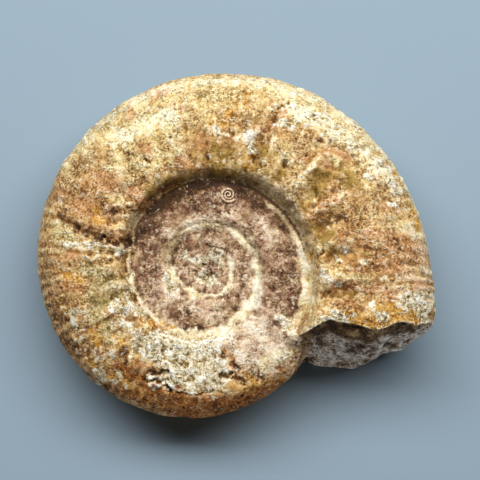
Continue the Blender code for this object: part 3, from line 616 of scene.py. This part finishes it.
rib_wave = -np.cos((growth - RIB_VALLEY) * RIBS_PER_TURN)
rib_along = ease(share, 0.02, 0.16) * (1 - 0.85 * ease(share, 0.35, 0.75))
ribs = RIB_HEIGHT * rib_wave * rib_along * ease(turn, -1.3, -0.2)
round_coil = np.degrees(growth) % 360
fine_phase = np.interp(round_coil, FINE_RIB_PLACES, FINE_RIBS_PASSED) + 0.12 * grain(6, 2, 61)
fine_wave = np.cos(fine_phase * math.tau)
fine_strength = np.interp(round_coil, FINE_RIB_PLACES, FINE_RIB_STRENGTHS)
fine_strength *= (
    ease(share + 0.06 * grain(5, 2, 63), 0.5, 0.85) * (1 - 0.8 * crust) * ease(turn, -0.9, -0.75)
)
fine_strength *= 1 - 0.6 * ease(grain(6, 3, 62), -0.2, 0.4)
fine_ribs = FINE_RIB_HEIGHT * fine_wave * fine_strength
furrow = (0.5 - 0.5 * fine_wave) * fine_strength

# Seam rim: pale lime left along the seam, by the turn that it bounds, with its half width and
# its place past the seam in mm. Over the second whorl's top the seam is filled to a smooth wall.
RIM_TURNS = [
    -4, -2.4, -2.1, -1.85, -1.7, -1.57, -1.45, -1.32, -1.2, -1.07, -0.94,
    -0.82, -0.69, -0.57, -0.5, -0.44, -0.27, -0.23, -0.19, -0.13, -0.07, 0,
]
RIM_STRENGTHS = [
    0, 0.3, 0.8, 1, 0.9, 0.6, 0.1, 0.3, 1, 1.1, 1,
    1, 0.9, 0.7, 0.4, 0.25, 0.1, 0.3, 0.5, 0.8, 0.9, 0.8,
]
RIM_WIDTHS = [
    0.5, 0.5, 0.7, 0.8, 0.9, 1, 1.4, 1.4, 1.3, 1.5, 1.9,
    1.3, 0.7, 0.6, 0.6, 0.6, 0.6, 0.7, 0.8, 1, 1.1, 1.2,
]
RIM_PLACES = [0] * 11 + [-0.4, -0.5, -0.5, -0.6, -0.6, -0.8, -1, -1.3, -1.3, -1.2, -1]
FILLED_TURN, FILLED_REACH = -1.4, (0.1, 0.19)

rim = filled = np.zeros(len(turn))
stray, worn = grain(3, 3, 71), 0.85 + 0.5 * grain(4, 3, 72)
for lap in range(LAPS):
    lap_turn = seam_turn - lap
    half_width = np.interp(lap_turn, RIM_TURNS, RIM_WIDTHS)
    past_seam = (radius - seam_radius(lap_turn)) / MM - np.interp(lap_turn, RIM_TURNS, RIM_PLACES)
    across = np.clip(1 - ((past_seam + 0.5 * stray) / (1.3 * half_width)) ** 2, 0, 1)
    rim = np.maximum(rim, np.interp(lap_turn, RIM_TURNS, RIM_STRENGTHS) * worn * across)
    soft_wall = across * ease(-abs(lap_turn - FILLED_TURN), -FILLED_REACH[1], -FILLED_REACH[0])
    wall, filled = np.maximum(wall, 0.9 * soft_wall), np.maximum(filled, soft_wall)
rim *= whole
wall *= whole

# Growth lines: streaks that run across the whorl, as the shell grew
STREAK_REACH = 8 * MM
FINE_STREAKS, BROAD_STREAKS = 38, 13  # how many in a radian of growth


def streaks(number):
    """Cloudy noise drawn out across the whorl, with a number of streaks in a radian of growth."""
    places = np.column_stack((radius / STREAK_REACH, growth * number, base[:, 2] / STREAK_REACH))
    return np.array([noise.fractal(place, 1.0, 2.0, 2) for place in places.tolist()])


broad = streaks(BROAD_STREAKS) * (1 - 0.6 * ease(share, 0.35, 0.8))
streak = (0.4 * streaks(FINE_STREAKS) + broad) * ease(turn, -0.98, -0.8) * (1 - 0.7 * crust)

# Skin: lumps, flakes in layers, fine cracks, and the rough face of the break, heights in mm
STREAK_HEIGHT, CRACK_DEPTH, CRACK_WIDTH = 0.12, 0.14, 0.07
CRUST_HEIGHT, RIM_HEIGHT, FILL_HEIGHT = 0.12, 0.65, 0.9
FLAKE_HEIGHT, CRUST_FLAKE_HEIGHT, CREAM_FLAKE_HEIGHT = 0.12, 0.2, 0.06
FLAKE_STEPS = 2.5
BREAK_DRAWN = 2.5  # how much taller than wide the break's lumps are
# The break's face gets painted shade near its top, where it lies under its overhanging edge.
BREAK_SHADE_FROM, BREAK_SHADE_TO = 17, 22  # above these heights the break's face is dark, in mm
LUMPS = [(0.22, 7, 81), (0.12, 2.4, 82), (0.09, 1.0, 83)]  # height, size and seed

lumps = sum(high * grain(size, 2, seed) for high, size, seed in LUMPS)
smoothness = 1 - np.maximum(0.5 * wall, 0.6 * olive)
flake_height = FLAKE_HEIGHT + CRUST_FLAKE_HEIGHT * crust + CREAM_FLAKE_HEIGHT * skin["cream"]
flakes = terraces(grain(2.0, 4, 86), FLAKE_STEPS) * flake_height
cracks = np.exp(-((grain(1.5, 2, 91) / CRACK_WIDTH) ** 2)) * ease(grain(6, 2, 92), -0.2, 0.25)
rough_break = 0.7 * grain(5, 2, 84, BREAK_DRAWN) + 0.3 * grain(1.6, 3, 85, BREAK_DRAWN)
relief = ribs + fine_ribs
relief += (lumps + flakes + STREAK_HEIGHT * streak - CRACK_DEPTH * cracks) * smoothness
relief += CRUST_HEIGHT * crust + RIM_HEIGHT * np.minimum(rim, 1) ** 1.5 + FILL_HEIGHT * filled
relief += upper * (carved(GROOVES) + carved(RIDGES) + carved(PITS))
relief += broken * rough_break
# Painted shade on the upper part of the break's face.
charred = broken * ease(base[:, 2] / MM + 2 * grain(3, 2, 88), BREAK_SHADE_FROM, BREAK_SHADE_TO)

# Chance pits: pores in the stone and holes where grains fell out
CHANCE_PITS = 1300
PIT_REACHES, PIT_DEPTHS = (0.25, 0.6), (0.1, 0.45)  # in mm

dice = random.Random(7)
nearby = kdtree.KDTree(len(base))
for index, point in enumerate(base.tolist()):
    nearby.insert(point, index)
nearby.balance()
for _ in range(CHANCE_PITS):
    centre = base[dice.randrange(len(base))]
    reach = dice.uniform(*PIT_REACHES) * MM
    depth = dice.uniform(*PIT_DEPTHS)
    for _, index, distance in nearby.find_range(centre, reach):
        relief[index] -= depth * (1 - (distance / reach) ** 2)

shaped = base + facing * relief[:, None] * MM
shaped[:, 2] = np.maximum(shaped[:, 2], 0)
write(stone.data.vertices, "co", shaped)
stone.data.update()

# Painted shade in hollows and painted highlight on ridges: how far the skin lies below the mean of
# what is round it, in mm. A painted shadow lies too on the whorl below the umbilicus's far wall.
SMOOTHING_ROUNDS = 10
WALL_SHADOW = 0.68

smooth = shaped.copy()
for _ in range(SMOOTHING_ROUNDS):
    smooth = neighbour_mean(smooth)
facing = read(stone.data.vertex_normals, "vector", 3)
# Rims, walls and olive folds keep little of the painted relief shade.
no_relief_shade = np.maximum(np.maximum(rim, wall), 0.8 * olive)
hollow = ((smooth - shaped) * facing).sum(axis=1) / MM * (1 - 0.9 * no_relief_shade)
# Painted shadow that the umbilicus's far wall casts on the outer part of the second whorl, at the top.
under_wall = ease(share, 0.28, 0.88) * ease(-turn, 0.99, 1.0) * ease(np.sin(growth), 0.1, 0.8)
hollow += WALL_SHADOW * under_wall * ease(turn, -2.05, -1.95) * (1 - rim)

skin |= {
    "wall": wall, "broken": broken, "furrow": furrow, "rim": rim, "streak": streak,
    "hollow": hollow, "charred": charred,
}
for name, values in skin.items():
    write(stone.data.attributes.new(name, "FLOAT", "POINT").data, "value", values)

TRIANGLES = 194000

thinned = stone.modifiers.new("thinned", "DECIMATE")
thinned.ratio = min(1.0, TRIANGLES / (2 * len(stone.data.polygons)))
bpy.ops.object.modifier_apply(modifier=thinned.name)
bpy.ops.object.shade_smooth()


def linear(colour):
    """The linear colour of an sRGB hex value."""
    parts = [int(colour[n : n + 2], 16) / 255 for n in (0, 2, 4)]
    return [p / 12.92 if p <= 0.04045 else ((p + 0.055) / 1.055) ** 2.4 for p in parts] + [1]


def add_node(material, kind, inputs=(), out=0, stops=(), **settings):
    """Adds a node to a material, and gives one of its outputs. The inputs come in their order, or by
    name or number, and each gets a value or another node's output. Stops are a ramp's colours."""
    tree = material.node_tree
    made = tree.nodes.new(kind)
    for name, value in settings.items():
        setattr(made, name, value)
    for number, (place, colour) in enumerate(stops):
        ramp = made.color_ramp.elements
        stop = ramp[number] if number < len(ramp) else ramp.new(place)
        stop.position, stop.color = place, linear(colour)
    for name, value in inputs.items() if isinstance(inputs, dict) else enumerate(inputs):
        if isinstance(value, bpy.types.NodeSocket):
            tree.links.new(value, made.inputs[name])
        else:
            made.inputs[name].default_value = value
    return made.outputs[out]


# Weathered limestone: matt and grainy, pale where limy crust and flakes of shell are left, and
# stained brown, orange and olive by iron and clay, with painted shade on the break's upper face and
# in hollows, and painted highlight on ridges. Each stain has how fully it covers its patches, and its
# colours from pores to grains. Sand grains too fine to show in the photo are drawn as coarse as they
# need to show, 0.55 mm wide.
GRAIN, FLECK, BLOTCH = 0.55 * MM, 1.6 * MM, 5 * MM
STOPS = (0.27, 0.4, 0.5, 0.6, 0.73)
BARE_STONE = ("644220", "A27644", "D0A86C", "ECD29C", "FDF4D6")
STAINS = {
    "umbilicus": (1.2, "583C2A", "907055", "C2A484", "E4CCAE", "FBF0DE"),
    "mauve": (0.85, "2A180E", "503020", "7C5240", "A67E66", "D0B298"),
    "wall": (1.0, "7A6846", "A28E68", "C2AE88", "DACAAA", "EEE4CC"),
    "cream": (1.1, "8A6636", "C8A464", "E8D294", "F8ECBE", "FFFCE4"),
    "olive": (1.15, "6A5020", "927434", "B08E48", "CCAE6E", "E4D09E"),
    "sage": (1.0, "5A4C22", "907C48", "BCA872", "DACA9A", "F0E6C8"),
    "russet": (1.05, "5E3A1A", "98683A", "C4905A", "E0B488", "F6E0C2"),
    "limonite": (1.05, "7A4C16", "B47E30", "DCA850", "F2CC88", "FDECCA"),
    "umber": (1.05, "301C0C", "543618", "7C532C", "A47A4A", "D0A478"),
    "rust": (1.1, "3A1E08", "683A12", "985C22", "C08442", "E4B880"),
    "crust": (0.95, "4E3818", "9C8352", "DCCEA8", "F8F4E4", "FFFFFC"),
    "rim": (0.95, "A08658", "D4BC8C", "F2E2BA", "FDF4D8", "FFFDF0"),
    "broken": (1.3, "281C12", "5A4A3A", "968676", "D0C6BC", "F8F4F0"),
    # painted shade on the break's upper face
    "charred": (0.9, "1A0E06", "3A2612", "5E4424", "8A6A42", "BEA078"),
}
CRISP, CRISP_EDGE, SOFT_EDGE = ("crust", "limonite", "rim", "broken", "charred"), 0.2, 0.45
RAGGED, RAGGED_SPREAD = 1.8 * MM, 1.6
SPOTTED, SPOTTED_SPREAD = 3 * MM, 2.6  # the mauve's, which lies in larger spots
FURROW_DARK, CRACK_DIRT, LIME_SPECK = "7A4E28", "4E3418", "F6EAD4"

limestone = bpy.data.materials.new("ochre_limestone")
limestone.use_nodes = True
shader = limestone.node_tree.nodes["Principled BSDF"]
place = add_node(limestone, "ShaderNodeTexCoord", out="Object")
mask = {
    name: add_node(limestone, "ShaderNodeAttribute", out="Fac", attribute_name=name)
    for name in skin
}


def mottling(size, detail, roughness, shift, tall=1, swirl=0.0):
    """Mottles round 0.5, of a size in metres, that may be drawn out upright or swirled."""
    moved = add_node(
        limestone, "ShaderNodeVectorMath", (place, (1, 1, 1 / tall), (shift, -shift, shift)),
        operation="MULTIPLY_ADD",
    )
    inputs = {
        "Vector": moved, "Scale": 1 / size, "Detail": detail, "Roughness": roughness,
        "Distortion": swirl,
    }
    return add_node(limestone, "ShaderNodeTexNoise", inputs, "Fac")


def specks(low, high, *mottles):
    """Mottles sharpened to specks, 0 where they are at low and 1 where they are at high."""
    return add_node(limestone, "ShaderNodeMapRange", (mottling(*mottles), low, high))


def layered(tone, *layers):
    """A tone with patterns added to it in turn, each by its weight."""
    for pattern, weight in layers:
        inputs = (pattern, weight, tone)
        tone = add_node(limestone, "ShaderNodeMath", inputs, operation="MULTIPLY_ADD")
    return tone


# Tone: from pores to grains, busier in some parts than in others, plain on walls and olive folds,
# with painted shade in hollows and below the umbilicus's far wall, and painted highlight on ridges
grains = mottling(GRAIN, 2, 0.7, 0)
flecks = mottling(FLECK, 3, 0.75, 0.17)
blotches = mottling(BLOTCH, 2, 0.8, 0.31)
busy = specks(0.38, 0.62, 7 * MM, 2, 0.6, 0.59)
fine_tone = layered(-0.5, (flecks, 0.4), (grains, 0.6))
tone = layered(0.36, (blotches, 0.25), (fine_tone, layered(0.55, (busy, 0.9))))
plain = add_node(
    limestone, "ShaderNodeMath", (layered(0.0, (mask["wall"], 0.6)), mask["olive"]),
    operation="MAXIMUM",
)
tone = add_node(limestone, "ShaderNodeMix", {0: layered(0.0, (plain, 0.75)), 2: tone, 3: blotches})
patchy = add_node(
    limestone, "ShaderNodeMath", (mask["umbilicus"], layered(-0.5, (blotches, 1.0))),
    operation="MULTIPLY",
)
tone = layered(tone, (mask["pale"], 0.18), (patchy, 0.4), (mask["rim"], 0.04))
tone = layered(tone, (mask["hollow"], -0.75), (mask["streak"], 0.08))
# The break and the crust take the painted relief shade too.
break_grains = mottling(GRAIN, 3, 0.8, 0.41, 2.2)
break_flecks = mottling(FLECK, 3, 0.7, 0.47, 2.2)
break_blotches = mottling(BLOTCH, 2, 0.6, 0.61, 2)
break_tone = layered(-0.56, (break_blotches, 0.8), (break_flecks, 0.6), (break_grains, 0.8))
break_tone = layered(break_tone, (mask["hollow"], -0.7))
crust_swirls = mottling(2.6 * MM, 5, 0.75, 0.37, swirl=1.6)
crust_tone = layered(-0.19, (grains, 0.4), (crust_swirls, 1.0), (mask["hollow"], -0.6))
tones = {"broken": break_tone, "charred": break_tone, "crust": crust_tone}

# The stains lie over the bare stone and one another, in the order of the list.
colour = add_node(limestone, "ShaderNodeValToRGB", (tone,), stops=zip(STOPS, BARE_STONE))
for name, (strength, *shades) in STAINS.items():
    stain = add_node(
        limestone, "ShaderNodeValToRGB", (tones.get(name, tone),), stops=zip(STOPS, shades)
    )
    size, spread = (SPOTTED, SPOTTED_SPREAD) if name == "mauve" else (RAGGED, RAGGED_SPREAD)
    ragged = (mottling(size, 4, 0.85, 0.1 * len(name)), spread)
    edge = layered(-spread / 2, ragged, (mask[name], strength))
    soft = CRISP_EDGE if name in CRISP else SOFT_EDGE
    cover = add_node(limestone, "ShaderNodeMapRange", (edge, 0.5 - soft, 0.5 + soft))
    inputs = {0: cover, 6: colour, 7: stain}
    colour = add_node(limestone, "ShaderNodeMix", inputs, 2, data_type="RGBA")

# The fine ribs' furrows are darker, fine cracks and pores hold dirt, these two not on the rims, and
# specks of lime lie on all but the break. Cracks, pores and lime show in some parts only.
crack = layered(-0.5, (mottling(1.5 * MM, 2, 0.7, 0.53), 1.0))
crack = add_node(limestone, "ShaderNodeMath", (crack,), operation="ABSOLUTE")
crack = add_node(limestone, "ShaderNodeMapRange", (crack, 0.03, 0.008))
cracks, pores, lime_specks = [
    add_node(limestone, "ShaderNodeMath", marks_and_parts, operation="MULTIPLY")
    for marks_and_parts in (
        (crack, specks(0.44, 0.58, 4 * MM, 2, 0.6, 0.77)),
        (specks(0.4, 0.33, 0.8 * MM, 1, 0.5, 0.91), specks(0.4, 0.56, 5 * MM, 2, 0.6, 0.83)),
        (specks(0.6, 0.66, 1.3 * MM, 2, 0.6, 0.67), specks(0.42, 0.56, 8 * MM, 2, 0.6, 0.71)),
    )
]
dirt = add_node(limestone, "ShaderNodeMath", (cracks, pores), operation="MAXIMUM")
dirt = add_node(
    limestone, "ShaderNodeMath", (dirt, layered(0.85, (mask["rim"], -0.8))), operation="MULTIPLY"
)
lime_specks = add_node(
    limestone, "ShaderNodeMath", (lime_specks, layered(0.6, (mask["broken"], -0.6))),
    operation="MULTIPLY",
)
for cover, stain in (
    (layered(0.0, (mask["furrow"], 0.4)), FURROW_DARK),
    (layered(0.0, (dirt, 0.75)), CRACK_DIRT),
    (lime_specks, LIME_SPECK),
):
    inputs = {0: cover, 6: colour, 7: linear(stain)}
    colour = add_node(limestone, "ShaderNodeMix", inputs, 2, data_type="RGBA")

height = layered(grains, (flecks, 0.6), (dirt, -0.6))
bump = {"Height": height, "Distance": 0.5 * MM, "Strength": layered(0.6, (busy, 0.5))}
normal = add_node(limestone, "ShaderNodeBump", bump)
limestone.node_tree.links.new(colour, shader.inputs["Base Color"])
limestone.node_tree.links.new(normal, shader.inputs["Normal"])
shader.inputs["Roughness"].default_value = 0.85
shader.inputs["Specular IOR Level"].default_value = 0.3
stone.data.materials.clear()
stone.data.materials.append(limestone)
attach(stone, "root")
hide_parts("ammonite")

# Worm tube: the limy tube of a small worm that settled in the umbilicus, coiled flat and
# stuck down along its length. It winds outwards from its closed start to its open mouth.

TUBE_CENTRE = (-1.71 * MM, 11.46 * MM)
TUBE_TURNS, TUBE_STEPS_PER_TURN = 2.4, 36
TUBE_MOUTH_RADIUS, TUBE_PITCH = 1.96 * MM, 0.76 * MM
TUBE_THICKNESS, TUBE_START = 0.7 * MM, 0.5  # the start's thickness, over the mouth's
TUBE_MOUTH_ANGLE = math.radians(-33)
TUBE_SUNK = 0.05 * MM
TUBE_SIDES = 14
TUBE_WALL = 0.15 * TUBE_THICKNESS
FEELERS, FEELER_REACH = 8, 1.4 * MM  # places round its centre where the skin's lean is felt
DOWN, FROM_ABOVE = Vector((0, 0, -1)), 0.1

bpy.ops.object.select_all(action="DESELECT")
bpy.ops.mesh.primitive_circle_add(
    vertices=TUBE_SIDES, radius=TUBE_THICKNESS / 2, fill_type="NGON",
    rotation=(math.pi / 2, 0, 0), location=(TUBE_MOUTH_RADIUS, 0, 0),
)
tube = bpy.context.object
tube.name = tube.data.name = "limy_worm_tube"
bpy.ops.object.transform_apply()
bpy.ops.object.mode_set(mode="EDIT")
bpy.ops.mesh.select_all(action="SELECT")
tube_steps = round(TUBE_TURNS * TUBE_STEPS_PER_TURN)


def tube_size(step):
    """The tube's distance from its coil's centre and its thickness, a number of steps in."""
    back = step / TUBE_STEPS_PER_TURN
    thickness = TUBE_THICKNESS * (1 - (1 - TUBE_START) * back / TUBE_TURNS)
    return TUBE_MOUTH_RADIUS - TUBE_PITCH * back, thickness


for step in range(tube_steps):
    (reach, thick), (next_reach, next_thick) = tube_size(step), tube_size(step + 1)
    thinner = next_thick / thick
    still = (next_reach - thinner * reach) / (1 - thinner)
    angle = -math.tau * step / TUBE_STEPS_PER_TURN
    bpy.ops.mesh.extrude_region_move()
    bpy.ops.transform.resize(
        value=(thinner, thinner, thinner),
        center_override=(still * math.cos(angle), still * math.sin(angle), 0),
    )
    bpy.ops.transform.rotate(
        value=math.tau / TUBE_STEPS_PER_TURN, orient_axis="Z", center_override=(0, 0, 0)
    )
bpy.ops.object.mode_set(mode="OBJECT")
for polygon in tube.data.polygons:
    polygon.select = len(polygon.vertices) == TUBE_SIDES and polygon.center.x > TUBE_PITCH
bpy.ops.object.mode_set(mode="EDIT")
bpy.ops.mesh.inset(thickness=TUBE_WALL)
bpy.ops.mesh.extrude_region_move(TRANSFORM_OT_translate={"value": (0, -TUBE_THICKNESS, 0)})
bpy.ops.mesh.select_all(action="SELECT")
bpy.ops.mesh.normals_make_consistent(inside=False)
bpy.ops.object.mode_set(mode="OBJECT")
rounded = tube.modifiers.new("rounded", "SUBSURF")
rounded.levels = rounded.render_levels = 1
bpy.ops.object.modifier_apply(modifier=rounded.name)
bpy.ops.object.shade_smooth()

_, foot, foot_normal, _ = stone.ray_cast(Vector((*TUBE_CENTRE, FROM_ABOVE)), DOWN)
under = [foot_normal]
for step in range(FEELERS):
    around = Matrix.Rotation(math.tau * step / FEELERS, 3, "Z") @ Vector((FEELER_REACH, 0, 0))
    start = Vector((TUBE_CENTRE[0] + around.x, TUBE_CENTRE[1] + around.y, FROM_ABOVE))
    _, _, near_normal, _ = stone.ray_cast(start, DOWN)
    under.append(near_normal)
flat = sum(under, Vector()).normalized()
tube.location = foot + flat * (TUBE_THICKNESS / 2 - TUBE_SUNK)
turned = Vector((0, 0, 1)).rotation_difference(flat)
tube.rotation_euler = (turned.to_matrix() @ Matrix.Rotation(TUBE_MOUTH_ANGLE, 3, "Z")).to_euler()
bpy.ops.object.transform_apply()

# Limy tube: chalky, pinkish white. Its growth rings are too fine to show, so a mottled wear, as
# coarse as it needs to show, stands for them.
WEAR = 0.6 * MM
WORN_LIME = ((0.35, "9C785C"), (0.5, "D0B294"), (0.65, "EAD6C0"))

lime = bpy.data.materials.new("limy_tube")
lime.use_nodes = True
shader = lime.node_tree.nodes["Principled BSDF"]
place = add_node(lime, "ShaderNodeTexCoord", out="Object")
wear = add_node(
    lime, "ShaderNodeTexNoise", {"Vector": place, "Scale": 1 / WEAR, "Detail": 3}, "Fac"
)
tint = add_node(lime, "ShaderNodeValToRGB", (wear,), stops=WORN_LIME)
lime.node_tree.links.new(tint, shader.inputs["Base Color"])
shader.inputs["Roughness"].default_value = 0.6
tube.data.materials.clear()
tube.data.materials.append(lime)
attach(tube, "root")
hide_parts("worm_tube")

# Floor: the plain board that the fossil was laid on for the photo. It is pale blue-grey and
# matt, so it takes soft shadows and shows no gloss.

FLOOR_SIDE = 4  # in metres

bpy.ops.object.select_all(action="DESELECT")
bpy.ops.mesh.primitive_plane_add(size=FLOOR_SIDE)
floor = bpy.context.object
floor.name = "floor"
board = bpy.data.materials.new("matt_board")
board.use_nodes = True
board_shader = board.node_tree.nodes["Principled BSDF"]
board_shader.inputs["Base Color"].default_value = linear("8FA4B6")
board_shader.inputs["Roughness"].default_value = 0.9
board_shader.inputs["Specular IOR Level"].default_value = 0.2
floor.data.materials.append(board)

# Light: one wide window, high at the far side, so the shade falls to the near side, with a warm
# card low at the near side and a weak cool fill from the room.

WINDOW_PLACE = Vector((0.02, 0.318, 0.509))
WINDOW_SIZE = (1.3, 0.24)
WINDOW_POWER = 8.2
CARD_PLACE, CARD_SIZE, CARD_POWER = Vector((0.03, -0.6, 0.03)), (0.8, 0.05), 1.0
FILL = 0.012

for name, place, size, power, colour in (
    ("window", WINDOW_PLACE, WINDOW_SIZE, WINDOW_POWER, (1.0, 0.97, 0.92)),
    ("card", CARD_PLACE, CARD_SIZE, CARD_POWER, (1.0, 0.9, 0.78)),
):
    lamp = bpy.data.lights.new(name, "AREA")
    lamp.shape = "RECTANGLE"
    lamp.size, lamp.size_y = size
    lamp.energy, lamp.color = power, colour
    lamp_object = bpy.data.objects.new(name, lamp)
    bpy.context.scene.collection.objects.link(lamp_object)
    lamp_object.location = place
    lamp_object.rotation_euler = (-place).to_track_quat("-Z", "Y").to_euler()

room = bpy.data.worlds.new("room")
room.use_nodes = True
room.node_tree.nodes["Background"].inputs["Color"].default_value = (0.72, 0.82, 0.95, 1)
room.node_tree.nodes["Background"].inputs["Strength"].default_value = FILL
bpy.context.scene.world = room
bpy.context.scene.view_settings.view_transform = "Standard"
